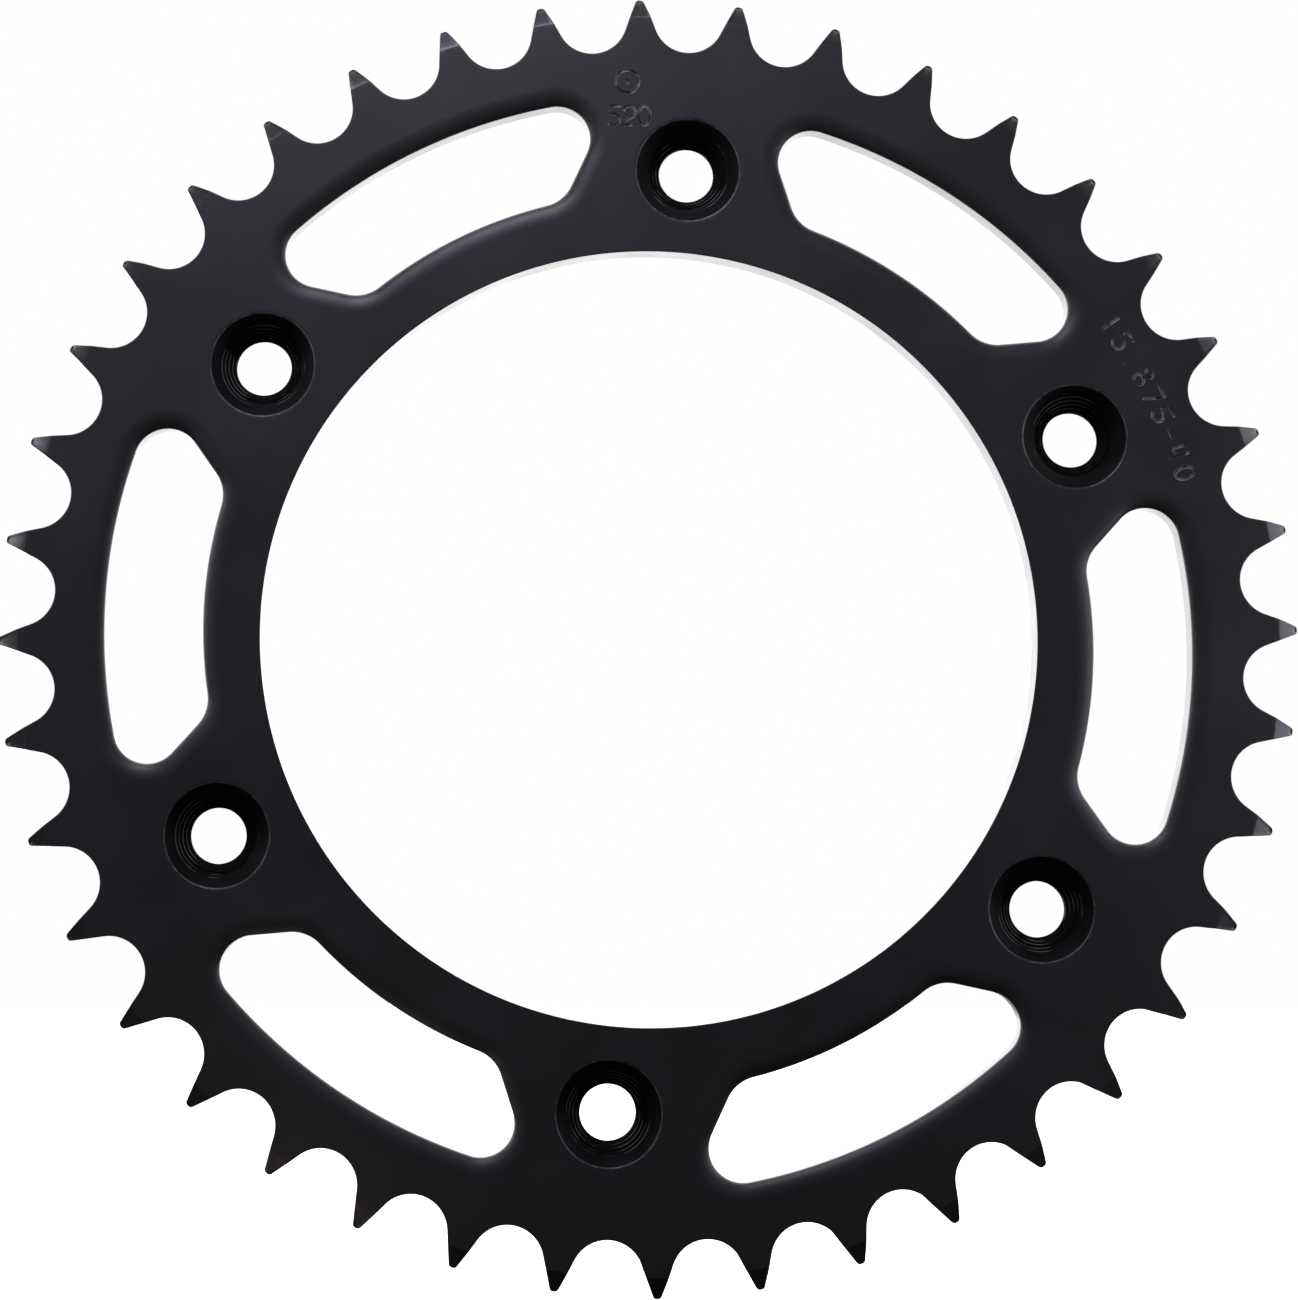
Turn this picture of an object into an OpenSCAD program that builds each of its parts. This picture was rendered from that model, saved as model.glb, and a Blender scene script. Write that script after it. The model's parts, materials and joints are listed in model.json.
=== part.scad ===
// Rear drive sprocket for a motorcycle: one toothed steel plate with a
// machined hub bore, six countersunk bolt holes and six weight-saving windows.
// Millimetres. The axle axis is Y, +Z is up, and the countersunk outer face looks along -Y.
// The origin is the centre of the bore at half the plate's thickness.

/* [Chain] */
// Number of teeth
teeth = 40; // [38:1:52]
// Chain pitch
chain_pitch = 15.875; // [15.5:0.001:19.05]
// Chain roller diameter
roller_d = 10.16; // [9:0.01:12]
// Radius of the seat that a roller sits in
seat_r = 5.79; // [5.2:0.01:6]
// Angle between a tooth flank and the radius through the middle of its gap
flank_angle = 24.2; // [18:0.1:26]
// Height of a tooth above the bottom of the seats
tooth_height = 9.1; // [6:0.01:9.4]

/* [Plate] */
// Plate thickness
plate_t = 5.9; // [5:0.1:10]
// Width of the bevel on each face of a tooth tip, measured along the radius
tip_bevel_w = 3.2; // [1:0.1:5]
// Depth of that bevel at the tip
tip_bevel_d = 1.9; // [0.2:0.05:2.4]
// Angle of the first tooth gap, counter-clockwise from the right as seen from the outer face
tooth_phase = 4.98; // [0:0.01:9]

/* [Hub] */
// Hub bore diameter
bore_d = 125.4; // [100:0.1:130]
// Edge break on both ends of the bore
bore_chamfer = 0.15; // [0.05:0.05:1]
// Number of bolt holes
bolt_count = 6; // [5:1:7]
// Bolt circle diameter
bolt_circle_d = 153; // [145:0.5:165]
// Bolt hole diameter
bolt_hole_d = 9; // [7.5:0.1:11]
// Angle of the first bolt hole
bolt_phase = 24.91; // [0:0.01:60]
// Countersink diameter at the outer face
sink_d = 16.8; // [13:0.1:19]
// Diameter where the countersink turns steeper
sink_step_d = 11.6; // [9.5:0.1:16]
// Angle between the axis and the outer cone of the countersink
sink_angle = 45; // [36:1:60]
// Angle between the axis and the steeper inner cone
sink_inner_angle = 36; // [25:1:44]
// Width of the fine edge break around the countersink
rim_w = 0.2; // [0.1:0.05:0.5]

/* [Windows] */
// Turn of the windows away from midway between the bolt holes
window_shift = 0.45; // [-3:0.01:3]
// Lean of each window about its own middle
window_lean = 0.95; // [-3:0.01:3]
// Width of the metal between the windows and the bottom of the seats
rim_band = 8.09; // [5:0.01:10]
// Height of a window along the radius
window_height = 15.9; // [13:0.1:20]
// Corner radius at the outer corners
outer_corner_r = 5.4; // [2:0.1:8]
// Corner radius at the inner corners
inner_corner_r = 6.1; // [2:0.1:8]
// Half angle between the centres of the two outer corners
outer_corner_angle = 15.3; // [13:0.05:18]
// Half angle between the centres of the two inner corners
inner_corner_angle = 12.25; // [8:0.05:15]

/* [Hidden] */
$fn = 120;
over = 1;                       // how far a cutter runs past the face it cuts
half_t = plate_t / 2;
pitch_r = chain_pitch / (2 * sin(180 / teeth));
root_r = pitch_r - roller_d / 2;
seat_centre_r = root_r + seat_r;
tip_r = root_r + tooth_height;
blank_r = tip_r + 2 * over;      // a plain disc that the turned outline trims
bore_r = bore_d / 2;
hole_r = bolt_hole_d / 2;
sink_r = sink_d / 2;
sink_step_r = sink_step_d / 2;
rim_drop = rim_w / 2;
sink_depth = rim_drop + (sink_r - sink_step_r) / tan(sink_angle);
sink_end = sink_depth + (sink_step_r - hole_r) / tan(sink_inner_angle);
window_outer_r = root_r - rim_band;
window_inner_r = window_outer_r - window_height;
window_mid_r = (window_outer_r + window_inner_r) / 2;
bite = 0.03;                    // how far a rounded corner stands proud of the walls it joins, so they cross
outer_corner = on_circle(window_outer_r - outer_corner_r + bite, outer_corner_angle);
inner_corner = on_circle(window_inner_r + inner_corner_r - bite, inner_corner_angle);
corner_gap = outer_corner - inner_corner;
corner_lead = asin((inner_corner_r - outer_corner_r) / norm(corner_gap));
end_angle = atan2(corner_gap[1], corner_gap[0]) + 90 - corner_lead;
steel = [0.13, 0.13, 0.14];

function on_circle(r, a) = r * [cos(a), sin(a)];

// Gap between two teeth, centred on the X axis: a round roller seat and two straight flanks
module tooth_gap() {
    flank = on_circle(seat_r - bite, 90 + flank_angle);
    reach = blank_r + over - seat_centre_r;
    mouth = flank[1] + (reach - flank[0]) * tan(flank_angle);
    translate([seat_centre_r, 0]) {
        circle(seat_r);
        polygon([[0, 0], flank, [reach, mouth], [reach, -mouth], [flank[0], -flank[1]]]);
    }
}

// Part of a disc within half_angle on both sides of the X axis
module sector(r, half_angle) {
    far = 2 * r;
    intersection() {
        circle(r);
        polygon([[0, 0], on_circle(far, -half_angle), [far, 0], on_circle(far, half_angle)]);
    }
}

// One window, pointing along X: two curved strips, four rounded corners and two straight ends
module window() {
    strip_r = norm(outer_corner);
    difference() {
        sector(window_outer_r, outer_corner_angle);
        circle(strip_r);
    }
    difference() {
        sector(strip_r + over, inner_corner_angle);
        circle(window_inner_r);
    }
    for (side = [0, 1])
        mirror([0, side]) {
            translate(outer_corner)
                circle(outer_corner_r);
            translate(inner_corner)
                circle(inner_corner_r);
            polygon([
                inner_corner,
                outer_corner,
                outer_corner + on_circle(outer_corner_r - bite, end_angle),
                inner_corner + on_circle(inner_corner_r - bite, end_angle)
            ]);
        }
}

// Places its children in each window
module at_windows() {
    for (i = [0:bolt_count - 1])
        rotate(bolt_phase + window_shift + (i + 0.5) * 360 / bolt_count)
            translate([window_mid_r, 0])
                rotate(window_lean)
                    translate([-window_mid_r, 0])
                        children();
}

// The toothed outline with its windows
module plate_outline() {
    difference() {
        circle(blank_r);
        for (i = [0:teeth - 1])
            rotate(tooth_phase + i * 360 / teeth)
                tooth_gap();
        at_windows()
            window();
    }
}

// Half section of the plate, turned round the axis: bore with broken edges, bevelled rim
module plate_section() {
    polygon([
        [bore_r, -half_t + bore_chamfer],
        [bore_r + bore_chamfer, -half_t],
        [tip_r - tip_bevel_w, -half_t],
        [tip_r, -half_t + tip_bevel_d],
        [tip_r, half_t - tip_bevel_d],
        [tip_r - tip_bevel_w, half_t],
        [bore_r + bore_chamfer, half_t],
        [bore_r, half_t - bore_chamfer]
    ]);
}

// Half section of a countersunk bolt hole, measured down from the outer face
module bolt_hole_section() {
    polygon([
        [0, over],
        [sink_r + 2 * rim_w, over],
        [sink_r + 2 * rim_w, rim_drop],
        [sink_r, -rim_drop],
        [sink_step_r, -sink_depth],
        [hole_r, -sink_end],
        [hole_r, -plate_t - over],
        [0, -plate_t - over]
    ]);
}

module sprocket_plate() {
    color(steel)
        rotate([90, 0, 0])
            difference() {
                intersection() {
                    translate([0, 0, -half_t - over])
                        linear_extrude(plate_t + 2 * over)
                            plate_outline();
                    rotate_extrude()
                        plate_section();
                }
                for (i = [0:bolt_count - 1])
                    rotate(bolt_phase + i * 360 / bolt_count)
                        translate([bolt_circle_d / 2, 0, half_t])
                            rotate_extrude()
                                bolt_hole_section();
            }
}

sprocket_plate();
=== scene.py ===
"""Visual model of a motorcycle's rear sprocket: a black coated steel plate standing on a pale studio floor.

The plate is in millimetres until Plate.build() turns it into metres. Its outlines are drawn in its own
plane, x to the right and z up as seen from the outer face; depth is counted from that face towards the back.
The camera, the lamps and the floor are in metres, and all angles are in degrees.
"""
import json
import math

import bmesh
import bpy
import numpy as np
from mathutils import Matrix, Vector
from mathutils.geometry import delaunay_2d_cdt

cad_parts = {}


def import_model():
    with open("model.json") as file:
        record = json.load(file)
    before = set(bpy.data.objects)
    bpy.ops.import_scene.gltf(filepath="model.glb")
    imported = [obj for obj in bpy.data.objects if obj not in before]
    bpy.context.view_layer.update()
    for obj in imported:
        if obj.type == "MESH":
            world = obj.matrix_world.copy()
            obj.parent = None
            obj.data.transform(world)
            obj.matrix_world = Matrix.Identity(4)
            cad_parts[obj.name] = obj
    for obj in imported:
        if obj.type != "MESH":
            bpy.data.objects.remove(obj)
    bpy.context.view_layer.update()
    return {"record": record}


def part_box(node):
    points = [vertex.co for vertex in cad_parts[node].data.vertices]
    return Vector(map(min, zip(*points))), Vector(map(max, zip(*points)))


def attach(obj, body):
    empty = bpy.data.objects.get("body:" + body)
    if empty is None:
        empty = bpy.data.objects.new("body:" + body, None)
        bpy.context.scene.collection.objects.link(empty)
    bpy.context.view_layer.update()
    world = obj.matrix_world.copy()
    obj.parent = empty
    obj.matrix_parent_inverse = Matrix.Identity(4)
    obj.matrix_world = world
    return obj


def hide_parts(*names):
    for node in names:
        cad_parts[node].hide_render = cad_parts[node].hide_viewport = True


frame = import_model()

MM = 0.001
PLATE = "sprocket_plate"
mounts = {m["name"]: m["dims"] for m in frame["record"]["mounts"]}
low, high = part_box(PLATE)

# ---- the plate, the bore and the bolt holes, from the frame
TIP_R = high.z / MM
THICK = (high.y - low.y) / MM
BORE_R = mounts["hub_bore"]["r_mm"]
BOLT_CIRCLE_R = mounts["hub_bolts"]["pcd_mm"] / 2
HOLE_R = mounts["hub_bolts"]["hole_r_mm"]
BOLTS = mounts["hub_bolts"]["count"]
BOLT_PHASE = 24.91

# ---- teeth
TEETH = 40
CHAIN_PITCH = 15.875
ROLLER_D = 10.16
ROOT_R = CHAIN_PITCH / (2 * math.sin(math.pi / TEETH)) - ROLLER_D / 2
SEAT_R = 5.79
FLANK_ANGLE = 24.2
TOOTH_PHASE = 4.98
TIP_CORNER_R = 0.65

# ---- the bevel on each face of a tooth: a rounded fold, then a slope that steepens to the tip
BEVEL_W = 3.4
BEVEL_TILT = 27
BEVEL_TIP_TILT = 38
FOLD_SHARE = 0.04           # how much of the bevel's width the fold takes to turn
BEVEL_SHARES = (0, 0.025, 0.055, 0.1, 0.2, 0.45, 0.75)
BEVEL_RADII = [TIP_R - BEVEL_W * (1 - share) for share in BEVEL_SHARES]
BEVEL_SAMPLES = 200
FOLD_POINTS = 6             # points of the mesh across a tooth, at each of those radii

# ---- countersinks: a broken rim, a turned 90 degree cone, a narrow step and a steeper cone
SINK_R = 8.4
SINK_STEP_R = 5.8
SINK_STEP_W = 0.2
SINK_STEP_DEPTH = 2.7
SINK_END_DEPTH = 4.49
RIM_W = 0.2
RIM_DROP = 0.1
RIDGED_W = 1.0
TOOL_RIDGES = 3
TOOL_RIDGE_H = 0.02

# ---- windows, with the rolled edge that the punch leaves on the outer face
WINDOW_SHIFT = 0.45         # how far the windows stand past the middle between two bolt holes
WINDOW_PHASE = BOLT_PHASE + 180 / BOLTS + WINDOW_SHIFT
WINDOW_LEAN = 0.95
WINDOW_OUTER_R = 88.0
WINDOW_INNER_R = 72.1
OUTER_CORNER_R = 5.4
INNER_CORNER_R = 6.1
OUTER_CORNER_ANGLE = 15.3
INNER_CORNER_ANGLE = 12.25
ROLL_W = 2.95
ROLL_D = 1.57
ROLL_STEPS = 14

# ---- all other edges, and the rings in the flat face that keep its shading flat up to them
EDGE = 0.15
EDGE_STEPS = 5
MARGIN = 0.4
ROLL_MARGIN = 0.15
TOOTH_MARGIN = 0.2

# ---- stamped marks: an arc of numerals along the rim, a level row and a ring with a dot above it
STROKE_W = 0.48
STROKE_SLOPE = 0.21
STROKE_DEPTH = 0.17
STROKE_LIP = 0.04
MARK_H = 3.2
MARK_W = 1.85
ARC_MARKS = "15.875-40"     # the chain's pitch and the number of teeth
ARC_MARKS_FOOT_R = 89.4
ARC_MARKS_FROM = 33.9
ARC_MARKS_STEP = 2.14
ROW_MARKS = "520"           # the chain's size
ROW_MARKS_X = -5.25
ROW_MARKS_STEP = 2.5
ROW_MARKS_FOOT = 83.7
RING_MARK_R = 1.9
RING_MARK_AT = (-3.05, 91.0)
CURVE_POINTS = 25
LINE_POINTS = 5

# ---- mesh quality
SAG = 0.004                 # how far a flat stretch may stay behind the true arc
SAME_POINT = SAG / 4        # points closer than this are one point
SAME_RADIUS = SAG / 100
CREASE = 20                 # edges that turn more than this are shaded as sharp
FLAT_FIRST = 100            # how strongly large faces rule the shading of the points they share
FILL_INSIDE = 1             # the triangulation's mode that fills the areas inside the outlines
FILL_CLOSENESS = 1e-6

# ---- how much pale steel each kind of edge shows, 0 to 1: rubbed coating on the broken edges, a painted highlight on the sink rims and on the stamps' walls
EDGE_WEAR = 0.3
RIM_PAINTED_GLINT = 0.8
STROKE_PAINTED_GLINT = 1.0
NO_SINK = 99.0              # the distance from a bolt's axis that is stored wherever there is no countersink

# ---- camera, at the photograph's viewing angle
CAMERA_AT = (-0.0290, low.y - 0.5619, -0.0388)
CAMERA_TILT = 6.74
CAMERA_TURN = 0.297
CAMERA_LENS = 96.64
CAMERA_SENSOR = 36
CAMERA_SHIFT = (0.1245, -0.1427)
CAMERA_CLIP = (0.01, 20)

# ---- lamps: name, turn round the plate's axis, angle off that axis, distance, size, strength and colour
LAMPS = (
    ("key", 105, 63, 0.28, (0.10, 0.10), 1.22, (0.93, 0.91, 1.10)),
    ("right", 4, 82, 0.20, (0.10, 0.16), 1.0, (0.96, 0.94, 1.10)),
    ("right_fill", 8, 50, 0.26, (0.08, 0.10), 0.08, (0.94, 0.92, 1.12)),
    ("left_fill", 172, 58, 0.26, (0.08, 0.10), 0.11, (0.94, 0.92, 1.12)),
    ("left", 165, 85, 0.27, (0.06, 0.10), 0.45, (0.96, 0.94, 1.10)),
    ("top", 105, 45, 0.32, (0.20, 0.12), 0.29, (0.94, 0.92, 1.12)),
    ("bounce", 240, 90, 0.118, (0.10, 0.02), 0.10, (1.15, 0.98, 0.80)),
)

# ---- floor and surroundings
FLOOR_R = 1.3
FLOOR_CORNERS = 96
FLOOR_ROUGHNESS = 0.9
FLOOR_COLOUR = (0.85, 0.85, 0.84, 1)
FLOOR_BOUNCE = (0.035, 0.03, 0.025, 1)
FLOOR_GLOW = 0.8
BACK_FLOOR = (0.2, 0.5)     # y from which, and by which, the floor is as bright as the backdrop
WASH = 0.5
WASH_HEIGHT = 2.0
WASH_SIZE = 3.0
WHITE = (1, 1, 1, 1)
BACKDROP = 2.8
ROOM_LOW = (0.01, 0.01, 0.01, 1)
ROOM_HIGH = (0.08, 0.078, 0.10, 1)
ROOM_RISE = (-0.15, 0.5)    # heights of the directions between which the low room turns into the high one
ROOM_END = (-0.1, 0.4)      # y of the directions between which the room turns into the backdrop

# ---- coating
BLACK = (0.019, 0.0187, 0.020, 1)
BLACK_PALE = (0.026, 0.0255, 0.028, 1)
# painted shade: the countersinks are coloured darker than the face
SINK_PAINTED_SHADE = (0.006, 0.006, 0.006, 1)
# pale steel, for the broken edges' wear and for painted highlights on sink rims, stamp walls and tool marks
BARE_STEEL_AND_GLINT = (0.22, 0.215, 0.22, 1)
SHINE = 0.5
SINK_SHINE = 0.05
SATIN = (0.44, 0.50)        # lowest and highest roughness
WALL_SMOOTHER = 0.2         # how much less rough the walls are, and the bevels
BEVEL_SMOOTHER = 0.14
WALL_TILT = 0.3             # a surface is a wall where its normal's y is 0, and a face from this on
TOOL_PITCH = 0.55           # distance between the cutting tool's marks in a countersink
CREST = 0.75                # height of a tool mark's wave above which its crest gets a painted highlight in pale steel
# painted highlight: how much pale steel the tool marks' crests get
ARC_PAINTED_GLINT = 0.6
ARCS_TO_R = 7.0
BLUR = 0.1                  # width over which one finish turns into another
PEEL_H = 0.005
SWELL_H = 1.5               # height of the coating's broad swells next to that of its fine grain
RING_H = 0.006
# Noise: scale in repeats for each metre, detail, and the stretch of it that becomes 0 to 1
# the first pattern breaks up both the edge wear and the painted highlights
WEAR_AND_GLINT_PATCHES = (900, 4, 0.42, 0.62)
CLOUDS = (60, 5, 0.35, 0.65)
STRETCHES = (140, 3, 0.50, 0.60)
SATIN_CLOUDS = (110, 4, 0.3, 0.7)
# Noise of the coating's surface: scale and detail
GRAIN = (1400, 2)
SWELLS = (260, 2)


# ---- outlines: rows of x, z and the direction into the metal there; every outline runs anticlockwise
def polar(r, angle):
    a = math.radians(angle)
    return np.array([r * math.cos(a), r * math.sin(a)])


def arc(centre, r, start, end, metal_outside=True, sag=SAG):
    """Points from angle start to angle end, close enough to stay within sag of the true arc."""
    step = math.degrees(math.sqrt(8 * sag / r))
    count = max(3, math.ceil(abs(end - start) / step) + 1)
    angles = np.radians(np.linspace(start, end, count))
    out = np.c_[np.cos(angles), np.sin(angles)]
    return np.c_[np.asarray(centre) + r * out, out if metal_outside else -out]


def circle(centre, r):
    return arc(centre, r, 0, 360)[:-1]


def mirrored(rows):
    """The same stretch on the other side of the x axis, run the other way so that the outline goes on."""
    return rows[::-1] * [1, -1, 1, -1]


def closed(rows):
    """The outline without any point given twice."""
    gap = np.linalg.norm(rows[:, :2] - np.roll(rows[:, :2], 1, axis=0), axis=1)
    return rows[gap > SAME_POINT]


def turned(rows, angle, about=(0, 0)):
    a = math.radians(angle)
    spin = np.array([[math.cos(a), math.sin(a)], [-math.sin(a), math.cos(a)]])
    return np.c_[(rows[:, :2] - about) @ spin + about, rows[:, 2:] @ spin]


def window_outline():
    """One window, pointing along x: two concentric arcs, four corners and two straight ends."""
    outer = polar(WINDOW_OUTER_R - OUTER_CORNER_R, OUTER_CORNER_ANGLE)
    inner = polar(WINDOW_INNER_R + INNER_CORNER_R, INNER_CORNER_ANGLE)
    gap = outer - inner
    lead = math.degrees(math.asin((INNER_CORNER_R - OUTER_CORNER_R) / np.linalg.norm(gap)))
    end = math.degrees(math.atan2(gap[1], gap[0])) + 90 - lead
    upper = np.concatenate([
        arc((0, 0), WINDOW_OUTER_R, 0, OUTER_CORNER_ANGLE),
        arc(outer, OUTER_CORNER_R, OUTER_CORNER_ANGLE, end),
        arc(inner, INNER_CORNER_R, end, 180 + INNER_CORNER_ANGLE),
        arc((0, 0), WINDOW_INNER_R, INNER_CORNER_ANGLE, 0, metal_outside=False),
    ])
    middle = ((WINDOW_OUTER_R + WINDOW_INNER_R) / 2, 0)
    return turned(closed(np.concatenate([mirrored(upper), upper])), WINDOW_LEAN, middle)


def bevel_depth(r):
    """How far a tooth's face has fallen at radius r."""
    share = np.linspace(0, 1, BEVEL_SAMPLES)
    tilt = BEVEL_TILT + (BEVEL_TIP_TILT - BEVEL_TILT) * share
    tilt *= 1 - np.exp(-share / FOLD_SHARE)
    depth = np.cumsum(np.tan(np.radians(tilt))) * BEVEL_W / BEVEL_SAMPLES
    return np.interp(r, BEVEL_RADII[0] + BEVEL_W * share, depth)


def half_gap():
    """Upper half of one tooth gap, from the middle of its seat to the middle of the next tooth's tip."""
    seat = np.array([ROOT_R + SEAT_R, 0])
    along = polar(1, FLANK_ANGLE)
    into = np.array([-along[1], along[0]])
    start = seat + SEAT_R * into
    corner_line = start + TIP_CORNER_R * into
    reach = math.sqrt((TIP_R - TIP_CORNER_R) ** 2 - (corner_line @ into) ** 2) - corner_line @ along
    corner = corner_line + reach * along
    corner_angle = math.degrees(math.atan2(corner[1], corner[0]))
    to_radii = [math.sqrt(r ** 2 - (start @ into) ** 2) - start @ along for r in BEVEL_RADII]
    flank = [[*(start + s * along), *into] for s in [to_radii[0] / 2] + to_radii]
    return np.concatenate([
        arc(seat, SEAT_R, 180, 90 + FLANK_ANGLE),
        flank,
        arc(corner, TIP_CORNER_R, FLANK_ANGLE - 90, corner_angle, metal_outside=False),
        arc((0, 0), TIP_R, corner_angle, 180 / TEETH, metal_outside=False),
    ])


def tooth_outline():
    half = half_gap()
    gap = np.concatenate([mirrored(half), half])
    gaps = [turned(gap, TOOTH_PHASE + i * 360 / TEETH) for i in range(TEETH)]
    return closed(np.concatenate(gaps))


# ---- wall profiles: rows of distance into the metal, depth, and the share of pale steel, which is edge wear on broken edges and a painted highlight on sink rims and stamp walls
def rounded(w, d, steps, wear=0.0):
    """From the face, w into the metal, round to the wall at depth d."""
    turns = np.linspace(0, math.pi / 2, steps + 1)
    return [(w * (1 - math.sin(t)), d * (1 - math.cos(t)), wear * math.sin(2 * t)) for t in turns]


def flipped(profile):
    """The same profile coming from the back face."""
    return [(u, THICK - depth, wear) for u, depth, wear in reversed(profile)]


def lead_in(w, margin):
    """A ring in the flat face, just clear of the edge."""
    return [(w + margin, 0, 0)]


def broken_edge(margin):
    return lead_in(EDGE, margin) + rounded(EDGE, EDGE, EDGE_STEPS, EDGE_WEAR)


def both_faces(profile):
    return profile + flipped(profile)


def rolled_edge():
    return lead_in(ROLL_W, ROLL_MARGIN) + rounded(ROLL_W, ROLL_D, ROLL_STEPS)


def turned_cone(u0, depth0, u1, depth1):
    """A straight cone with fine ridges left by the cutting tool."""
    length = math.hypot(u1 - u0, depth1 - depth0)
    out_u = (depth1 - depth0) / length
    out_depth = (u0 - u1) / length
    rows = []
    for share in np.linspace(0, 1, 2 * TOOL_RIDGES + 1):
        lift = TOOL_RIDGE_H if len(rows) % 2 else 0
        u = u0 + share * (u1 - u0) - lift * out_u
        rows.append((u, depth0 + share * (depth1 - depth0) - lift * out_depth, 0))
    return rows


def sink_profile():
    """A bolt hole's wall: broken rim, 90 degree cone with a ridged end, step, steeper cone and hole."""
    rim = SINK_R - HOLE_R
    step = SINK_STEP_R - HOLE_R
    ridged = step + SINK_STEP_W + RIDGED_W
    step_depth = SINK_STEP_DEPTH - SINK_STEP_W
    top = lead_in(rim + RIM_W, MARGIN) + [
        (rim + RIM_W, 0, 0),
        # the rim's middle gets a painted highlight in pale steel
        (rim + RIM_W / 2, RIM_DROP / 3, RIM_PAINTED_GLINT),
        (rim, RIM_DROP, 0),
    ]
    cone = turned_cone(ridged, rim - ridged, step + SINK_STEP_W, step_depth)
    bottom = [(step, step_depth, 0), (0, SINK_END_DEPTH, 0)]
    return top + cone + bottom + flipped(broken_edge(MARGIN))


# ---- stamped marks: strokes of even width in cells of the given size, their foot on z = 0
def stroke(path, ends_meet=False):
    """The outline of a stroke along a path of points, and that of the island inside it if its ends meet."""
    path = np.asarray(path, dtype=float)
    if ends_meet:
        ahead = np.roll(path, -1, axis=0)
        behind = np.roll(path, 1, axis=0)
    else:
        ahead = np.vstack([path[1:], path[-1:]])
        behind = np.vstack([path[:1], path[:-1]])
    along = (ahead - behind) / np.linalg.norm(ahead - behind, axis=1)[:, None]
    right = np.c_[along[:, 1], -along[:, 0]]
    side = STROKE_W / 2
    outer = np.c_[path + side * right, right]
    inner = np.c_[path - side * right, -right]
    if ends_meet:
        return outer, inner
    heading = math.degrees(math.atan2(along[-1][1], along[-1][0]))
    tail = math.degrees(math.atan2(along[0][1], along[0][0]))
    nose = arc(path[-1], side, heading - 90, heading + 90, sag=SAG / 2)
    heel = arc(path[0], side, tail + 90, tail + 270, sag=SAG / 2)
    return closed(np.concatenate([outer, nose, inner[::-1], heel])), None


def curve(x, z, rx, rz, start, end):
    angles = np.radians(np.linspace(start, end, CURVE_POINTS))
    return np.c_[x + rx * np.cos(angles), z + rz * np.sin(angles)]


def oval(x, z, rx, rz):
    return curve(x, z, rx, rz, 0, 360)[:-1]


def line(x0, z0, x1, z1):
    return np.linspace([x0, z0], [x1, z1], LINE_POINTS)


def glyph(mark, w, h):
    """Strokes of one mark as pairs of path and whether its ends meet. They stop just short of each other."""
    a = w / 2
    gap = STROKE_W * 1.3
    bowl = h * 0.29
    bend = STROKE_W * 0.8
    bar = h * 0.35
    swan_neck = np.vstack([curve(0, h - a, a, a, 165, -20), line(a * 0.75, h / 2 - 0.1, -a, gap)])
    elbow = np.vstack([
        line(-a, h, -a, bar + bend)[:-1],
        curve(bend - a, bar + bend, bend, bend, 180, 270),
        line(bend - a, bar, a * 0.5 - gap, bar)[1:],
    ])
    return {
        "0": [(oval(0, h / 2, a, h / 2), True)],
        "1": [(line(0, 0, 0, h), False)],
        "2": [(swan_neck, False), (line(-a, 0, a, 0), False)],
        "4": [(line(a * 0.5, 0, a * 0.5, h), False), (elbow, False)],
        "5": [(line(-a * 0.7, h, a, h), False),
              (line(-a, h - gap, -a, h * 0.6), False),
              (curve(-a * 0.1, bowl, a * 1.1, bowl, 105, -140), False)],
        "7": [(line(-a, h, a, h), False), (line(a, h - gap, -a * 0.2, 0), False)],
        "8": [(oval(0, h * 0.24, a, h * 0.24), True), (oval(0, h * 0.84, a * 0.8, h * 0.16), True)],
        "-": [(line(-a * 0.7, h / 2, a * 0.7, h / 2), False)],
        ".": [(line(-0.02, 0, 0.02, 0), False)],
    }[mark]


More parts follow.
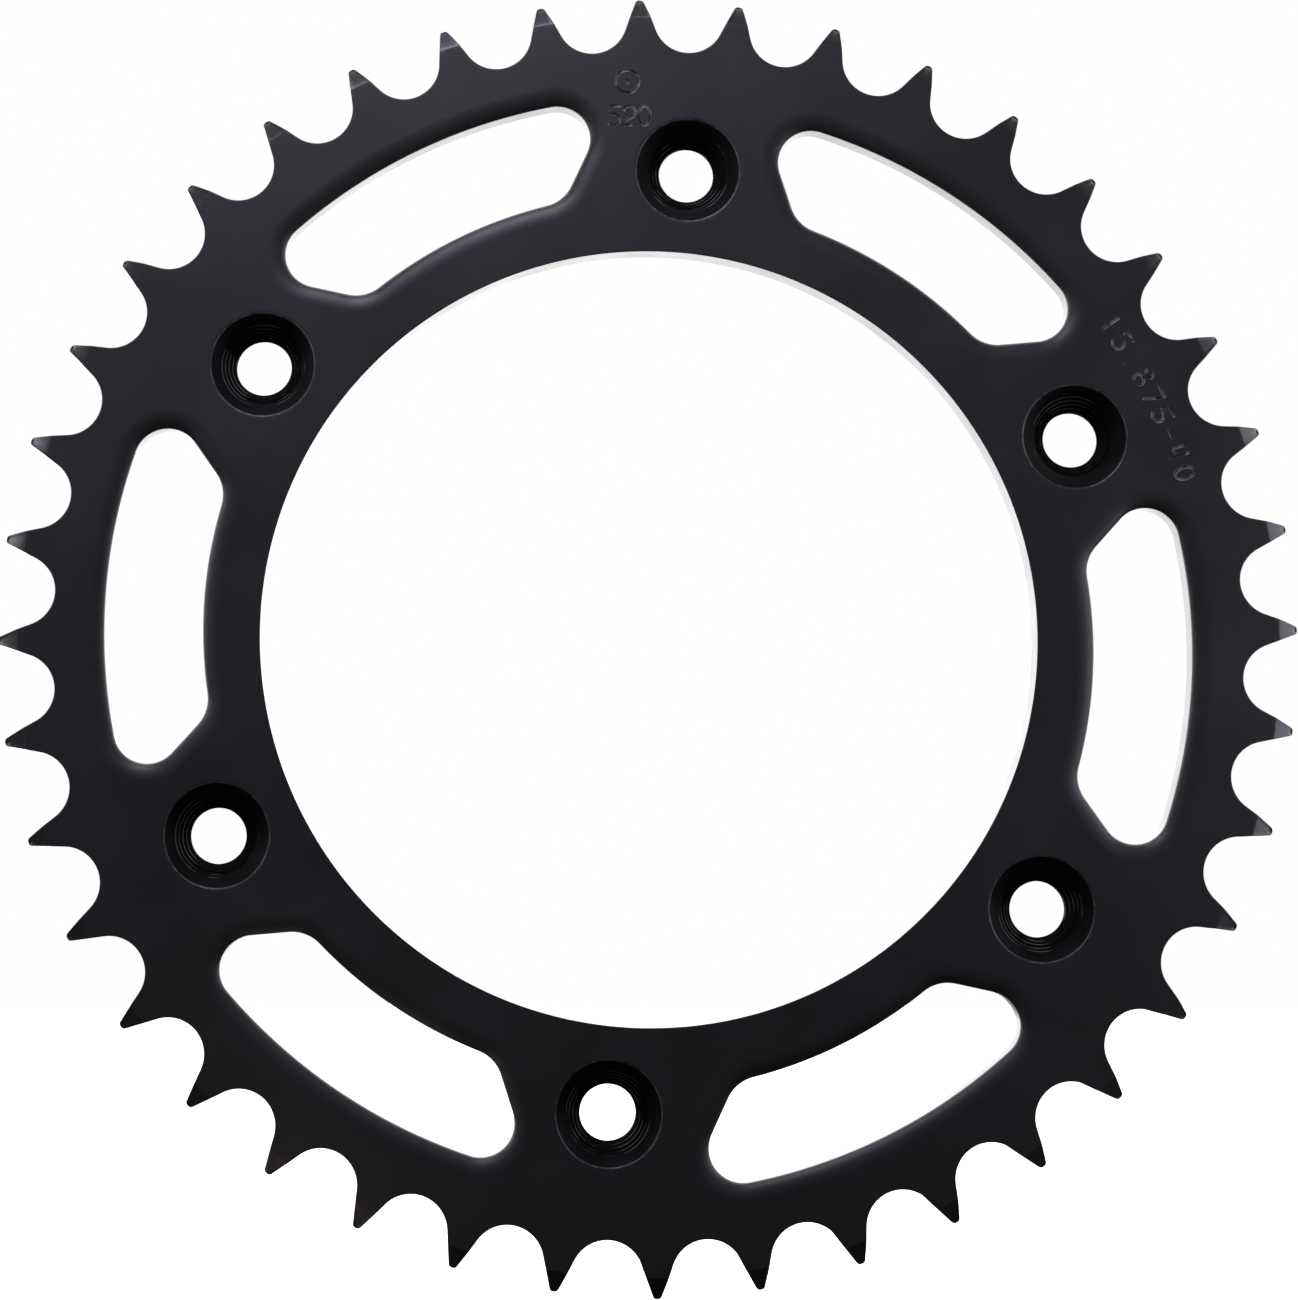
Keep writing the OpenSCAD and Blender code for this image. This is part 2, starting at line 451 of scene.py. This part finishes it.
# ---- the plate's mesh
class Plate:
    """Collects the plate's points and faces, in millimetres."""

    def __init__(self):
        self.points = []
        self.wear = []
        self.sink = []
        self.faces = []

    def ring(self, xz, depths, wear=0.0, sink=NO_SINK):
        first = len(self.points)
        self.points += [(x, y, z) for (x, z), y in zip(xz, depths)]
        self.wear += [wear] * len(xz)
        self.sink += [sink] * len(xz)
        return list(range(first, len(self.points)))

    def bridge(self, rings):
        for a, b in zip(rings, rings[1:]):
            self.faces += [(a[i - 1], a[i], b[i], b[i - 1]) for i in range(len(a))]

    def wall(self, outline, profile, drop=None, hole_r=None):
        """A wall round an outline. drop sinks each of its faces by so much, point by point."""
        rings = []
        for u, depth, wear in profile:
            xz = outline[:, :2] + u * outline[:, 2:]
            depths = np.full(len(xz), float(depth))
            if drop is not None:
                depths += drop if depth < THICK / 2 else -drop
            rings.append(self.ring(xz, depths, wear, NO_SINK if hole_r is None else hole_r + u))
        self.bridge(rings)
        return rings[0], rings[-1]

    def cap(self, rim, holes, folds=()):
        """Fills a face inside the rim and outside the holes, with edges along the folds."""
        loops = [rim] + list(holes)
        index = list(dict.fromkeys(v for row in loops + list(folds) for v in row))
        place = {v: k for k, v in enumerate(index)}
        spots = [Vector((self.points[v][0], self.points[v][2])) for v in index]
        edges = [(place[a], place[b]) for row in folds for a, b in zip(row, row[1:])]
        areas = [[place[v] for v in row] for row in loops]
        filled = delaunay_2d_cdt(spots, edges, areas, FILL_INSIDE, FILL_CLOSENESS)
        new_spots, _, triangles, origin, _, inside = filled
        assert len(new_spots) == len(spots), "outlines cross"
        for triangle, owners in zip(triangles, inside):
            if list(owners) == [0]:
                self.faces.append(tuple(index[origin[k][0]] for k in triangle))

    def build(self, name):
        mesh = bpy.data.meshes.new(name)
        points = np.array(self.points) * MM + [0, low.y, 0]
        mesh.from_pydata(points.tolist(), [], self.faces)
        body = bmesh.new()
        body.from_mesh(mesh)
        bmesh.ops.recalc_face_normals(body, faces=body.faces)
        for face in body.faces:
            face.smooth = True
        for edge in body.edges:
            assert edge.is_manifold, "open edge"
            edge.smooth = edge.calc_face_angle() < math.radians(CREASE)
        body.to_mesh(mesh)
        body.free()
        for label, values in (("wear", self.wear), ("sink_r", self.sink)):
            layer = mesh.attributes.new(label, "FLOAT", "POINT")
            layer.data.foreach_set("value", np.array(values, dtype=np.float32))
        made = bpy.data.objects.new(name, mesh)
        bpy.context.collection.objects.link(made)
        smooth = made.modifiers.new("flat_faces", "WEIGHTED_NORMAL")
        smooth.mode = "FACE_AREA"
        smooth.weight = FLAT_FIRST
        smooth.keep_sharp = True
        return made


def marks():
    """Every stamped stroke as a pair: its outline, and that of the island inside it if its ends meet."""
    strokes = []
    for i, mark in enumerate(ARC_MARKS):
        for path, ends_meet in glyph(mark, MARK_W, MARK_H):
            pair = stroke(path + [0, ARC_MARKS_FOOT_R], ends_meet)
            angle = ARC_MARKS_FROM - i * ARC_MARKS_STEP - 90
            strokes.append([rows if rows is None else turned(rows, angle) for rows in pair])
    for i, mark in enumerate(ROW_MARKS):
        for path, ends_meet in glyph(mark, MARK_W, MARK_H):
            strokes.append(stroke(path + [ROW_MARKS_X + i * ROW_MARKS_STEP, ROW_MARKS_FOOT], ends_meet))
    return strokes


def stamp(plate, outline, island, inside=()):
    """Sinks one stroke into the outer face and returns its top edge. Marks may stand inside its island."""
    # the stroke's sloping walls get a painted highlight in pale steel
    slope = [(STROKE_LIP, 0, 0), (0, 0, STROKE_PAINTED_GLINT), (-STROKE_SLOPE, STROKE_DEPTH, STROKE_PAINTED_GLINT)]
    top, bottom = plate.wall(outline, slope)
    if island is None:
        plate.cap(bottom, [])
        return top
    island_top, island_bottom = plate.wall(island, slope)
    plate.cap(bottom, [island_bottom])
    plate.cap(island_top, inside)
    return top


def ring_mark(plate):
    dot = stamp(plate, circle(RING_MARK_AT, STROKE_W), None)
    path = oval(*RING_MARK_AT, RING_MARK_R, RING_MARK_R)
    return stamp(plate, *stroke(path, ends_meet=True), [dot])


def tooth_folds(plate, rim, outline):
    """Lines across every tooth along its bevel, each joining the points of the rim at one radius.

    The outline has two points for each gap at a radius. A tooth lies between the second of one gap and the
    first of the next.
    """
    radius = np.linalg.norm(outline[:, :2], axis=1)
    folds = []
    for r in BEVEL_RADII:
        hits = np.flatnonzero(np.abs(radius - r) < SAME_RADIUS)
        for start, end in zip(hits[1::2], np.roll(hits, -2)[::2]):
            x0, depth, z0 = plate.points[rim[start]]
            x1, _, z1 = plate.points[rim[end]]
            between = np.linspace([x0, z0], [x1, z1], FOLD_POINTS)[1:-1]
            between *= (math.hypot(x0, z0) / np.linalg.norm(between, axis=1))[:, None]
            middle = plate.ring(between, [depth] * len(between))
            folds.append([rim[start]] + middle + [rim[end]])
    return folds


def sprocket():
    plate = Plate()
    teeth = tooth_outline()
    drop = bevel_depth(np.linalg.norm(teeth[:, :2], axis=1))
    rim, back_rim = plate.wall(teeth, both_faces(broken_edge(TOOTH_MARGIN)), drop)
    openings = [plate.wall(circle((0, 0), BORE_R), both_faces(broken_edge(MARGIN)))]
    for i in range(BOLTS):
        turn = i * 360 / BOLTS
        window = turned(window_outline(), WINDOW_PHASE + turn)
        openings.append(plate.wall(window, rolled_edge() + flipped(broken_edge(MARGIN))))
        hole = circle(polar(BOLT_CIRCLE_R, BOLT_PHASE + turn), HOLE_R)
        openings.append(plate.wall(hole, sink_profile(), hole_r=HOLE_R))
    front, back = zip(*openings)
    front += tuple(stamp(plate, *pair) for pair in marks()) + (ring_mark(plate),)
    plate.cap(rim, front, tooth_folds(plate, rim, teeth))
    plate.cap(back_rim, back, tooth_folds(plate, back_rim, teeth))
    return plate.build("sprocket")


# ---- shader nodes: a value is a number, a colour or another node's output
def node(tree, kind, **settings):
    made = tree.nodes.new("ShaderNode" + kind)
    for name, value in settings.items():
        if name in made.inputs:
            made.inputs[name].default_value = value
        else:
            setattr(made, name, value)
    return made


def feed(tree, socket, value):
    if isinstance(value, bpy.types.NodeSocket):
        tree.links.new(value, socket)
    else:
        socket.default_value = value


def noise(tree, scale, detail):
    """Cloudy noise in the plate's own space."""
    made = node(tree, "TexNoise", Scale=scale, Detail=detail)
    feed(tree, made.inputs["Vector"], node(tree, "TexCoord").outputs["Object"])
    return made.outputs["Fac"]


def ramp(tree, source, start, end, to_start, to_end, interpolation="LINEAR"):
    """Source between start and end becomes a number between to_start and to_end."""
    made = node(tree, "MapRange", interpolation_type=interpolation)
    made.inputs["From Min"].default_value = start
    made.inputs["From Max"].default_value = end
    made.inputs["To Min"].default_value = to_start
    made.inputs["To Max"].default_value = to_end
    feed(tree, made.inputs["Value"], source)
    return made.outputs["Result"]


def smooth_ramp(tree, source, start, end, to_end=1):
    return ramp(tree, source, start, end, 0, to_end, "SMOOTHSTEP")


def patches(tree, pattern, to_start=0, to_end=1):
    """Soft patches of one of the noise patterns named above."""
    scale, detail, start, end = pattern
    return ramp(tree, noise(tree, scale, detail), start, end, to_start, to_end)


def maths(tree, operation, a, b=0):
    made = node(tree, "Math", operation=operation)
    feed(tree, made.inputs[0], a)
    feed(tree, made.inputs[1], b)
    return made.outputs[0]


def blend(tree, factor, a, b, kind="RGBA"):
    """Colour, or number, a where the factor is 0 and b where it is 1."""
    made = node(tree, "Mix", data_type=kind)
    for name, value in (("Factor", factor), ("A", a), ("B", b)):
        feed(tree, made.inputs[name], value)
    return made.outputs["Result"]


def attribute(tree, name):
    return node(tree, "Attribute", attribute_name=name).outputs["Fac"]


def direction_parts(tree, vector):
    made = node(tree, "SeparateXYZ")
    feed(tree, made.inputs[0], vector)
    return made.outputs


def new_material(name):
    material = bpy.data.materials.new(name)
    material.use_nodes = True
    return material, material.node_tree, material.node_tree.nodes["Principled BSDF"].inputs


# ---- the plate's finish
def coating_colour(tree, in_sink, tool_marks):
    """Cloudy black; painted shade darkens the sinks; pale steel shows as wear on the broken edges and as
    painted highlights on the sink rims, the stamps' walls and stretches of tool marks.
    """
    patchy_wear_and_glint = maths(tree, "MULTIPLY", attribute(tree, "wear"), patches(tree, WEAR_AND_GLINT_PATCHES))
    crests = ramp(tree, tool_marks, CREST, 1, 0, 1)
    # painted highlight in pale steel on stretches of the tool marks' crests near the step
    arcs = maths(tree, "MULTIPLY", crests, patches(tree, STRETCHES, to_end=ARC_PAINTED_GLINT))
    near_step = ramp(tree, attribute(tree, "sink_r"), ARCS_TO_R - BLUR, ARCS_TO_R, 1, 0)
    wear_and_glint_share = maths(tree, "ADD", patchy_wear_and_glint, maths(tree, "MULTIPLY", arcs, near_step))
    black = blend(tree, patches(tree, CLOUDS), BLACK, BLACK_PALE)
    # painted shade in the sinks, then pale steel for wear and for painted highlights
    return blend(tree, wear_and_glint_share, blend(tree, in_sink, black, SINK_PAINTED_SHADE), BARE_STEEL_AND_GLINT)


def coating_roughness(tree):
    """Satin, smoother on the walls and on the tooth bevels."""
    facing = direction_parts(tree, node(tree, "NewGeometry").outputs["Normal"])
    wall = ramp(tree, maths(tree, "ABSOLUTE", facing["Y"]), 0, WALL_TILT, WALL_SMOOTHER, 0)
    radius = node(tree, "VectorMath", operation="LENGTH")
    feed(tree, radius.inputs[0], node(tree, "TexCoord").outputs["Object"])
    fold_start = BEVEL_RADII[0] * MM
    fold_end = BEVEL_RADII[2] * MM
    bevel = ramp(tree, radius.outputs["Value"], fold_start, fold_end, 0, BEVEL_SMOOTHER)
    satin = patches(tree, SATIN_CLOUDS, *SATIN)
    return maths(tree, "SUBTRACT", maths(tree, "SUBTRACT", satin, wall), bevel)


def coating_shine(tree, in_sink):
    """Strength of the reflections: full on the faces, faint in the sinks and none on their inner cones."""
    cone = ramp(tree, attribute(tree, "sink_r"), SINK_STEP_R, SINK_R, 0, SINK_SHINE)
    return maths(tree, "ADD", ramp(tree, in_sink, 0, 1, SHINE, 0), maths(tree, "MULTIPLY", cone, in_sink))


def coating_bump(tree, in_sink, tool_marks):
    """A faint orange peel everywhere, and the tool's marks in the sinks."""
    swells = maths(tree, "MULTIPLY", noise(tree, *SWELLS), SWELL_H)
    peel = maths(tree, "MULTIPLY", maths(tree, "ADD", noise(tree, *GRAIN), swells), PEEL_H)
    rings = maths(tree, "MULTIPLY", maths(tree, "MULTIPLY", tool_marks, in_sink), RING_H)
    height = maths(tree, "ADD", peel, rings)
    bump = node(tree, "Bump", Strength=1.0, Distance=MM)
    feed(tree, bump.inputs["Height"], height)
    return bump.outputs["Normal"]


def coating():
    material, tree, shader = new_material("black_coating")
    in_sink = ramp(tree, attribute(tree, "sink_r"), SINK_R - BLUR, SINK_R, 1, 0)
    turns = maths(tree, "MULTIPLY", attribute(tree, "sink_r"), 2 * math.pi / TOOL_PITCH)
    tool_marks = maths(tree, "SINE", turns)
    feed(tree, shader["Base Color"], coating_colour(tree, in_sink, tool_marks))
    feed(tree, shader["Roughness"], coating_roughness(tree))
    feed(tree, shader["Specular IOR Level"], coating_shine(tree, in_sink))
    feed(tree, shader["Normal"], coating_bump(tree, in_sink, tool_marks))
    return material


# ---- camera and studio
def camera():
    data = bpy.data.cameras.new("camera")
    data.lens = CAMERA_LENS
    data.sensor_width = CAMERA_SENSOR
    data.shift_x, data.shift_y = CAMERA_SHIFT
    data.clip_start, data.clip_end = CAMERA_CLIP
    eye = bpy.data.objects.new("camera", data)
    eye.location = CAMERA_AT
    eye.rotation_euler = (math.radians(90 + CAMERA_TILT), 0, math.radians(-CAMERA_TURN))
    bpy.context.collection.objects.link(eye)
    bpy.context.scene.camera = eye


def soft_box(name, turn, off_axis, distance, size, strength, colour):
    """A lamp facing the plate's middle. strength is what it sheds there on a card that faces it."""
    aim = Vector((
        math.cos(math.radians(turn)) * math.sin(math.radians(off_axis)),
        -math.cos(math.radians(off_axis)),
        math.sin(math.radians(turn)) * math.sin(math.radians(off_axis)),
    ))
    data = bpy.data.lights.new(name, "AREA")
    data.shape = "RECTANGLE"
    data.size, data.size_y = size
    data.energy = strength * math.pi * distance ** 2
    data.color = colour
    lamp = bpy.data.objects.new(name, data)
    lamp.location = aim * distance
    lamp.rotation_euler = aim.to_track_quat("Z", "Y").to_euler()
    lamp.visible_camera = False
    bpy.context.collection.objects.link(lamp)
    return lamp


def floor_paint():
    """To the camera, pale paint that glows into the white around it. To the plate, a dark floor in front, so
    that little light bounces up, and the backdrop's brightness far behind."""
    material, tree, shader = new_material("floor")
    shader["Roughness"].default_value = FLOOR_ROUGHNESS
    shader["Specular IOR Level"].default_value = 0
    shader["Emission Color"].default_value = WHITE
    seen = node(tree, "LightPath").outputs["Is Camera Ray"]
    place = direction_parts(tree, node(tree, "NewGeometry").outputs["Position"])
    behind = smooth_ramp(tree, place["Y"], *BACK_FLOOR, to_end=BACKDROP)
    feed(tree, shader["Emission Strength"], blend(tree, seen, behind, FLOOR_GLOW, "FLOAT"))
    feed(tree, shader["Base Color"], blend(tree, seen, FLOOR_BOUNCE, FLOOR_COLOUR))
    return material


def floor():
    """A round table with a lamp of its own, which lights nothing else."""
    bpy.ops.mesh.primitive_circle_add(
        radius=FLOOR_R, vertices=FLOOR_CORNERS, fill_type="NGON", location=(0, 0, -TIP_R * MM))
    ground = bpy.context.object
    ground.name = "floor"
    ground.data.materials.append(floor_paint())
    wash = soft_box("floor_wash", 90, 90, WASH_HEIGHT, (WASH_SIZE, WASH_SIZE), WASH * math.pi, WHITE[:3])
    only_floor = bpy.data.collections.new("lit_by_floor_wash")
    only_floor.objects.link(ground)
    wash.light_linking.receiver_collection = only_floor


def world():
    """White behind the plate and for the camera, dim in front where the plate's face looks."""
    scene = bpy.context.scene
    scene.world = bpy.data.worlds.new("studio")
    scene.world.use_nodes = True
    tree = scene.world.node_tree
    look = direction_parts(tree, node(tree, "TexCoord").outputs["Generated"])
    room = blend(tree, smooth_ramp(tree, look["Z"], *ROOM_RISE), ROOM_LOW, ROOM_HIGH)
    backdrop = (BACKDROP, BACKDROP, BACKDROP, 1)
    surroundings = blend(tree, smooth_ramp(tree, look["Y"], *ROOM_END), room, backdrop)
    seen = node(tree, "LightPath").outputs["Is Camera Ray"]
    feed(tree, tree.nodes["Background"].inputs["Color"], blend(tree, seen, surroundings, WHITE))
    scene.view_settings.view_transform = "Standard"


piece = sprocket()
piece.data.materials.append(coating())
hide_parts(PLATE)
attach(piece, "root")
camera()
for lamp_settings in LAMPS:
    soft_box(*lamp_settings)
floor()
world()
